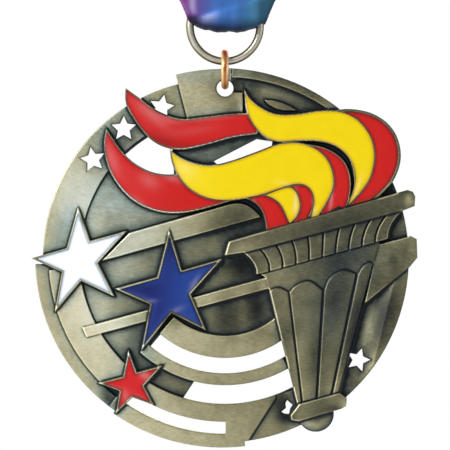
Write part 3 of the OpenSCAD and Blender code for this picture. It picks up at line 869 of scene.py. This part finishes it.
def distance_along(line):
    return np.concatenate([[0], np.cumsum(np.linalg.norm(np.diff(line, axis=0), axis=1))])


def smooth_line(knots, step):
    """Evenly spaced points on a smooth curve through the knots"""
    k = np.array(knots, float)
    k = np.concatenate([[2 * k[0] - k[1]], k, [2 * k[-1] - k[-2]]])
    t = np.linspace(0, 1, 24, endpoint=False)[:, None]
    fine = [
        0.5 * (2 * b + (c - a) * t + (2 * a - 5 * b + 4 * c - d) * t ** 2 + (3 * b - a - 3 * c + d) * t ** 3)
        for a, b, c, d in zip(k, k[1:], k[2:], k[3:])
    ]
    fine = np.concatenate(fine + [k[-2][None]])
    run = distance_along(fine)
    at = np.linspace(0, run[-1], max(2, int(round(run[-1] / step)) + 1))
    return np.stack([np.interp(at, run, fine[:, i]) for i in (0, 1)], 1)


def skein_line():
    """Middle of the doubled strap, from just above the ring to its end inside the skein"""
    points = [smooth_line(LEAD, 0.5)]
    side = 1
    for i, r in enumerate(RUN_RADII):
        start, end = (RUN_BOTTOM_Z, RUN_TOP_Z) if side > 0 else (RUN_TOP_Z, RUN_BOTTOM_Z)
        stop = LAST_RUN_Z if r == RUN_RADII[-1] else end
        z = np.arange(1, 18) / 18 * (stop - start) + start
        z = z[z > LEAD[-1][1] + 1] if i == 0 else z
        points.append(np.stack([np.full(len(z), side * r), z], 1))
        if r != RUN_RADII[-1]:
            inner = RUN_RADII[i + 1]
            a = np.linspace(0, np.pi, 13)
            mid_y, radius = side * (r - inner) / 2, (r + inner) / 2
            points.append(np.stack([mid_y + side * radius * np.cos(a), end + side * radius * np.sin(a)], 1))
        side = -side
    return np.concatenate(points)


def line_normals(line):
    ahead = np.gradient(line, axis=0)
    ahead /= np.linalg.norm(ahead, axis=1, keepdims=True)
    return np.stack([ahead[:, 1], -ahead[:, 0]], 1)


def ribbon_line():
    """Middle of the single ribbon all the way round its loop, and how far each point is in the lobe"""
    double = skein_line()
    outward = line_normals(double)
    strap_a = (double - outward * STRAP_GAP)[::-1]
    strap_b = double + outward * STRAP_GAP
    end = double[-1]
    a = np.linspace(0, np.pi, 7)[1:-1]
    tip = np.stack([end[0] + STRAP_GAP * np.cos(a), end[1] + STRAP_GAP * 1.6 * np.sin(a)], 1)
    front = smooth_line([tuple(strap_a[-1])] + FRONT_LOBE, 0.34)
    back = front[::-1] * [-1, 1]
    back[-1] = strap_b[0]
    return np.concatenate([strap_a[:-1], front[:-1], back[:-1], strap_b, tip]), len(strap_a), len(front)


def fold_across(v, width):
    """Where the material at v, from the ribbon's middle, lies once the margins are folded behind"""
    turn = np.pi * FOLD_R
    over = np.abs(v) - width / 2
    more = over - turn - FOLD_RUN
    where = [over <= 0, over <= turn, more <= 0, more <= turn]
    x = np.select(where, [
        np.abs(v), width / 2 + FOLD_R * np.sin(over / FOLD_R), width / 2 - (over - turn),
        width / 2 - FOLD_RUN - FOLD_R * np.sin(more / FOLD_R)
    ], width / 2 - FOLD_RUN + (more - turn))
    depth = np.select(where, [
        0.0, FOLD_R * (1 - np.cos(over / FOLD_R)), 2 * FOLD_R, FOLD_R * (3 - np.cos(more / FOLD_R))
    ], 4 * FOLD_R)
    return np.sign(v) * x, depth


def sheen_of(px, pz, low, middle):
    """How bright the cloth is painted at each point: painted sheen under the crease, painted shade towards
    the bottom and at the corners of the fold, and a painted highlight as a pale line along the fold; also how
    far its colour shifts across below the crease
    """
    crease = pz + 60.0 - (px + 4.6) * 0.29
    below = 1 / (1 + np.exp(crease / 0.12))
    start = np.exp(-((px + 2.2) / 2.0) ** 2)
    lustre = 1 + below * ((0.25 + 0.8 * start) * np.exp(crease / 0.35) + 0.2 * np.exp(crease / 1.6))
    lustre *= 1 - 0.42 * below * unit((px - 1.0) / 5.0)
    # Painted shade: darker towards the bottom of the fold and in its lower corners, and on the right
    lustre *= 1 - 0.93 * unit((-59.9 - pz) / 2.3) ** 0.8
    for x_at, x_soft, z_at, z_soft, depth in ((-3.6, 1.2, -59.3, 0.8, 0.85), (1.0, 4.0, -60.7, 0.8, 0.7)):
        lustre *= 1 - depth * unit((x_at - px) / x_soft) * unit((z_at - pz) / z_soft)
    lustre *= 1 - 0.32 * unit((px - 4.4) / 2.6)
    lustre = 1 + (lustre - 1) * unit(low * 4)
    outer = middle & (low > 0.2)
    # Painted highlight: a pale line along the fold near the left edge, and a glow just under the crease
    fold_line = 0.42 * np.exp(-((px + 5.5) / 0.55) ** 2) * unit((pz + 59.6) / 1.2)
    glow = -crease * np.exp(crease / 0.5) / 0.5 * 2.7 * below * np.exp(-((px + 2.9) / 1.5) ** 2)
    pale = (fold_line + 0.5 * glow) * outer * unit(low * 4 - 0.8)
    return lustre, np.clip(pale, 0, 0.8), 0.05 * below * outer


def build_ribbon():
    """The whole loop of cloth: flat in the skein, gathered and folded behind in the lobe round the ring"""
    line, strap_n, lobe_n = ribbon_line()
    inward = loop_sides(line)
    run = distance_along(line)
    margin = np.concatenate([np.linspace(MARGIN_FROM, 10.9, 26), [RIBBON_W / 2]])
    middle = np.linspace(-MARGIN_FROM, MARGIN_FROM, 15)[1:-1]
    columns = np.concatenate([-margin[::-1], middle, margin])
    rows, n = len(line), len(columns)
    i = np.arange(rows)[:, None]
    y, z = line[:, :1], line[:, 1:]
    in_lobe = (i >= strap_n - 1) & (i < strap_n + 2 * lobe_n)
    width = np.where(in_lobe, np.interp(z, *np.array(WIDTHS).T), RIBBON_W + 1)
    low = np.where(in_lobe, unit((LOBE_TOP_Z - z) / LOBE_H), 0.0)
    rng = np.random.default_rng(5)
    sway = np.interp(run, np.linspace(0, run[-1], 24), rng.uniform(-0.28, 0.28, 24))[:, None]
    x, depth = fold_across(columns, width)
    crease = z + 60.3 - (x + 4.6) * 0.3
    ridge = 0.26 * np.exp(-(crease / 0.55) ** 2) + 0.16 / (1 + np.exp(-crease / 0.25))
    ridge = np.where(in_lobe & (y < 0.01), ridge, 0.0)
    flute = 0.1 * np.sin(x * 1.9 + z * 0.35) + 0.06 * np.sin(x * 3.7 + 1.3)
    bow = 0.008 * np.clip(np.abs(x) - 2, 0, None) ** 2
    proud = (ridge + flute) * low * (depth < 0.3) - bow * low
    wave = 0.03 * np.sin(run[:, None] * 0.21 + columns * 0.17) * (1 - low)
    d = depth - proud + wave
    lift = 0.75 * unit((-61 - z) / 1.1) * (np.abs(x - 0.6) / 5.0) ** 3 * in_lobe
    aside = 0.42 * unit(low * 3) * unit((z + 61.9) / 0.9)
    px = x + sway * (1 - unit(low * 3)) + aside
    pz = z + inward[:, 1:] * d + lift
    points = np.stack([px, y + inward[:, :1] * d, pz], 2)
    edges = [range(r * n, (r + 1) * n) for r in range(rows)]
    faces = [
        [this[c], this[c + 1], after[c + 1], after[c]]
        for this, after in zip(edges, edges[1:] + edges[:1]) for c in range(n - 1)
    ]
    obj = link_piece("satin_ribbon", points.reshape(-1, 3), faces)
    lustre, pale, shift = sheen_of(px, pz, low, np.abs(columns) < RIBBON_W / 2 - 2.5)
    across = columns / RIBBON_W + 0.5 + shift
    point_values(obj, across=across, along=np.repeat(run, n) / 1000, lustre=lustre, pale=pale)
    thick = obj.modifiers.new("thickness", "SOLIDIFY")
    thick.thickness = CLOTH_T * MM
    thick.offset = 0
    return obj


def satin():
    """Dyed satin: its colour runs across the ribbon, its threads along and across; painted sheen, shade and
    highlight lie over it along the gathered lobe
    """
    material, tree, surface = shader("satin_ribbon", {
        "Specular IOR Level": 0.16, "Sheen Weight": 0.05, "Sheen Roughness": 0.3,
        "Sheen Tint": (0.75, 0.85, 1.0, 1)
    })
    where = math_node(tree, "ADD", "across", vary(tree, noise(tree, 0.05, detail=2), -0.012, 0.012))
    colour = ramp(tree, where, [
        (0.0, (0.16, 0.015, 0.14)), (0.16, (0.16, 0.025, 0.18)), (0.24, (0.14, 0.055, 0.25)),
        (0.3, (0.085, 0.075, 0.29)), (0.36, (0.045, 0.085, 0.31)), (0.43, (0.04, 0.135, 0.4)),
        (0.51, (0.032, 0.105, 0.35)), (0.6, (0.038, 0.13, 0.37)), (0.66, (0.034, 0.11, 0.3)),
        (0.72, (0.048, 0.2, 0.38)), (0.79, (0.044, 0.17, 0.3)), (0.88, (0.036, 0.14, 0.21)),
        (1.0, (0.016, 0.065, 0.09))
    ])
    # Painted highlight along the fold and crease
    colour = mix_colour(tree, "pale", colour, (0.42, 0.42, 0.6))
    cloth = add_node(tree, "CombineXYZ", {
        0: math_node(tree, "MULTIPLY", "across", THREADS), 1: math_node(tree, "MULTIPLY", "along", THREADS)
    }).outputs[0]
    thread = add_node(tree, "TexNoise", {"Scale": 1.0, "Detail": 3, "Vector": cloth}).outputs["Fac"]
    inputs = {"Scale": 6.0, "Distortion": 0.6, "Vector": cloth}
    weft = add_node(tree, "TexWave", inputs, wave_type="BANDS", bands_direction="Y").outputs["Fac"]
    # Painted sheen and shade over the lobe lighten and darken the dye
    colour = dim(tree, colour, math_node(tree, "MULTIPLY", vary(tree, thread, 0.9, 1.1), "lustre"))
    roughness = span(tree, "lustre", 0.2, 1.0, 0.8, 0.36)
    dress(tree, surface, colour, math_node(tree, "ADD", weft, thread), 0.25, 0.00003, Roughness=roughness)
    return material


ribbon = build_ribbon()
finish_piece(ribbon, satin(), "ribbon", "neck_ribbon")


# ---- tie and stitching

TIE_W = 5.0
TIE_T = 0.55
SKEIN = (11.2, 4.02, 2.6)  # half-width, half-depth and corner radius
SEAM_HALF = 7.5
SEAM_LOW, SEAM_HIGH = -50.6, -47.4
STITCH_LENGTH = 1.75
THREAD_R = 0.13


def rounded_box(half_x, half_y, r, step):
    loop = []
    for x, y, start in ((1, 1, 0), (-1, 1, 90), (-1, -1, 180), (1, -1, 270)):
        a = np.radians(start + np.linspace(0, 90, 9))
        loop.append(np.stack([x * (half_x - r) + r * np.cos(a), y * (half_y - r) + r * np.sin(a)], 1))
    return subdivide(np.concatenate(loop), step)


def build_tie():
    """Woven elastic round the skein, with ribs along it and a rolled edge"""
    low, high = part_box("skein_tie")
    z_mid = (low.z + high.z) / 2 / MM
    outline = rounded_box(*SKEIN, 0.7)
    outward = -loop_sides(outline)
    profile = []
    for t in np.linspace(-1, 1, 21):
        rib = 0.05 * math.cos(t * math.pi * 6.5) if abs(t) < 0.9 else 0.0
        profile.append((TIE_T * (1 - 0.5 * abs(t) ** 8) + rib, t * TIE_W / 2))
    profile += [(0.0, TIE_W / 2 - 0.1), (0.0, -TIE_W / 2 + 0.1)]
    points = []
    for spot, away in zip(outline, outward):
        overlap = 0.38 * (spot[1] > 3.9 and -3.2 < spot[0] < 3.4)
        for out, z in profile:
            p = spot + away * (out + (overlap if out else 0))
            points.append((p[0], p[1], z_mid + z))
    rings = [range(k, len(points), len(profile)) for k in range(len(profile))]
    return clean(link_piece("elastic_tie", points, wall_faces(rings + rings[:1])))


def elastic():
    material, tree, surface = shader("elastic", {
        "Roughness": 0.75, "Specular IOR Level": 0.2, "Sheen Weight": 0.05
    })
    weave = noise(tree, 1.6, stretch=(1, 1, 2.5), detail=3)
    tint = ramp(tree, weave, [(0.3, (0.01, 0.01, 0.012)), (0.7, (0.045, 0.045, 0.05))])
    dress(tree, surface, tint, weave, 0.6, 0.00008)
    return material


def stitch(a, b, out, r):
    """One stitch lying on the cloth: a short thread that dives in at both ends"""
    a, b, out = (np.array(p, float) for p in (a, b, out))
    along = (b - a) / np.linalg.norm(b - a)
    side = np.cross(out, along)
    points = []
    steps, around = 9, 8
    for i in range(steps):
        t = i / (steps - 1)
        rise = r * (2.1 * math.sin(math.pi * t) ** 0.6 - 0.9)
        thick = r * (0.55 + 0.45 * math.sin(math.pi * t) ** 0.5)
        points += tube_ring(a + (b - a) * t + out * rise, thick * side, thick * 0.8 * out, around)
    return points, tube_faces(steps, around)


def build_stitching():
    """Box stitch through both straps, above the ring"""
    double = skein_line()
    outward = line_normals(double)

    def place(z, face):
        """A point on one face of the strap at height z, and the direction out of the cloth there"""
        k = int(np.argmin(np.abs(double[:40, 1] - z)))
        lean = (double[k + 1] - double[k]) / (double[k + 1, 1] - double[k, 1])
        n = outward[k] * face
        return double[k] + lean * (z - double[k, 1]) + n * (STRAP_GAP + CLOTH_T / 2 + 0.02), n

    points, faces = [], []
    path = [(x * SEAM_HALF, z) for x, z in (
        (-1, SEAM_LOW), (1, SEAM_LOW), (1, SEAM_HIGH), (-1, SEAM_HIGH), (-1, SEAM_LOW)
    )]
    lines = list(zip(path, path[1:])) + [(path[0], path[2]), (path[1], path[3])]
    for face in (1, -1):
        for (xa, za), (xb, zb) in lines:
            n = max(2, int(round(math.hypot(xb - xa, zb - za) / STITCH_LENGTH)))
            for i in range(n):
                s, e = (i + 0.08) / n, (i + 0.9) / n
                pa, na = place(za + (zb - za) * s, face)
                pb, _ = place(za + (zb - za) * e, face)
                a, b = (xa + (xb - xa) * s, *pa), (xa + (xb - xa) * e, *pb)
                new_points, new_faces = stitch(a, b, (0, *na), THREAD_R)
                start = len(points)
                points += new_points
                faces += [[v + start for v in f] for f in new_faces]
    return clean(link_piece("seam_stitches", points, faces))


def sewing_thread():
    material, tree, surface = shader("thread", {"Roughness": 0.5, "Sheen Weight": 0.3})
    twist = noise(tree, 3.0, detail=2)
    tint = ramp(tree, twist, [(0.3, (0.3, 0.36, 0.62)), (0.7, (0.55, 0.6, 0.82))])
    dress(tree, surface, tint, twist, 0.5, 0.00005)
    return material


finish_piece(build_tie(), elastic(), "ribbon", "skein_tie")
finish_piece(build_stitching(), sewing_thread(), "ribbon", "ribbon_stitching")


# ---- rings

def build_ring(name, radius, wire, centre_z, across, gap_at, gap, nick):
    """Bent wire ring with a butt joint; across is the unit vector the ring lies along, with Z"""
    around, steps = 28, 220
    points = []
    across = np.array(across, float)
    up = np.array([0, 0, 1.0])
    axle = np.cross(across, up)
    half = gap / radius / 2
    for i in range(steps + 1):
        t = i / steps
        a = gap_at + half + (2 * math.pi - 2 * half) * t
        out = across * math.sin(a) + up * math.cos(a)
        end = min(t, 1 - t) * 2 * math.pi * radius
        shrink = 1.0 if end > 0.12 else 0.86 + 0.14 * math.sqrt(max(0.0, 1 - (1 - end / 0.12) ** 2))
        shift = nick * math.exp(-end / 1.2) * (1 if t < 0.5 else -1)
        c = out * radius + axle * shift + up * centre_z
        points += tube_ring(c, wire / 2 * shrink * out, wire / 2 * shrink * axle, around)
    obj = link_piece(name, points, tube_faces(steps + 1, around))
    # Painted reflection: the wire's tone follows how far round it faces, 0 at its inner and outer edges, 1 at
    # its sides
    side = np.abs(np.sin(2 * np.pi * np.arange(around) / around))
    height = (np.array(points)[:, 2] - centre_z) / (radius + wire / 2)
    point_values(obj, side=np.tile(side, steps + 1), crown=unit((height - 0.72) / 0.2))
    return clean(obj)


def plated(name, bands, rough, metallic, edge_tint, crown=None):
    """Polished wire: bands are painted reflections, tones from its inner and outer edge to its sides"""
    material, tree, surface = shader(name, {"Metallic": metallic, "Specular Tint": (*edge_tint, 1)})
    patch = vary(tree, noise(tree, 0.4, detail=1), -0.06, 0.06)
    tint = ramp(tree, math_node(tree, "ADD", "side", patch, clamp=True), bands)
    if crown:
        tint = mix_colour(tree, "crown", tint, mix_colour(tree, 0.75, tint, crown))
    roughness = vary(tree, noise(tree, 0.5, detail=1), rough * 0.85, rough * 1.2)
    dress(tree, surface, tint, noise(tree, 1.2, detail=1), 0.05, 0.00001, Roughness=roughness)
    return material


JUMP_WIRE = 1.25
RIBBON_RING_WIRE = 1.3
COPPER = [
    (0.0, (0.3, 0.09, 0.03)), (0.35, (0.5, 0.24, 0.1)), (0.7, (0.8, 0.52, 0.27)), (1.0, (0.95, 0.8, 0.58))
]
PALE_BRASS = [
    (0.0, (0.4, 0.3, 0.01)), (0.3, (0.085, 0.066, 0.006)), (0.7, (0.13, 0.115, 0.055)),
    (0.91, (0.42, 0.4, 0.33)), (1.0, (0.62, 0.6, 0.55))
]


def ring_on(node, name, wire, across, gap_at, gap):
    """The wire ring that stands for a CAD ring, with the same outside diameter and centre"""
    low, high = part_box(node)
    radius = (high.z - low.z) / MM / 2 - wire / 2
    return build_ring(name, radius, wire, (low.z + high.z) / 2 / MM, across, gap_at, gap, 0.03)


finish_piece(
    ring_on("jump_ring", "copper_jump_ring", JUMP_WIRE, (0, 1, 0), math.radians(115), 0.12),
    plated("copper_plate", COPPER, 0.26, 0.6, (0.35, 0.18, 0.08), (0.66, 0.13, 0.06)),
    "jump_ring", "jump_ring"
)
finish_piece(
    ring_on("ribbon_ring", "pale_ribbon_ring", RIBBON_RING_WIRE, (1, 0, 0), 0.0, 0.15),
    plated("pale_brass", PALE_BRASS, 0.38, 0.78, (0.45, 0.33, 0.05)),
    "ribbon_ring", "ribbon_ring"
)


# ---- stage

FLOOR_HALF = 900
FLOOR_Z = -200


def build_floor():
    """A pale floor that fades into the studio's own brightness, so no horizon shows"""
    signs = ((-1, -1), (1, -1), (1, 1), (-1, 1))
    corners = [(x * FLOOR_HALF, y * FLOOR_HALF, FLOOR_Z) for x, y in signs]
    floor = link_piece("floor", corners, [[0, 1, 2, 3]], smooth=False)
    material, tree, surface = shader("floor", {"Base Color": (0.9, 0.9, 0.9, 1), "Roughness": 0.8})
    flat = {0: object_point(tree), 1: (1, 1, 0)}
    level = add_node(tree, "VectorMath", flat, operation="MULTIPLY").outputs[0]
    far = add_node(tree, "VectorMath", {0: level}, operation="LENGTH").outputs["Value"]
    heading = add_node(tree, "VectorMath", {0: level}, operation="NORMALIZE").outputs[0]
    glow = add_node(tree, "Emission", {"Strength": studio_strength(tree, heading)})
    blend = add_node(tree, "MixShader", {
        0: span(tree, far, 0.2, 0.85, smooth=True), 1: surface.outputs[0], 2: glow.outputs[0]
    })
    out = next(node for node in tree.nodes if node.type == "OUTPUT_MATERIAL")
    tree.links.new(blend.outputs[0], out.inputs["Surface"])
    floor.data.materials.append(material)


build_floor()
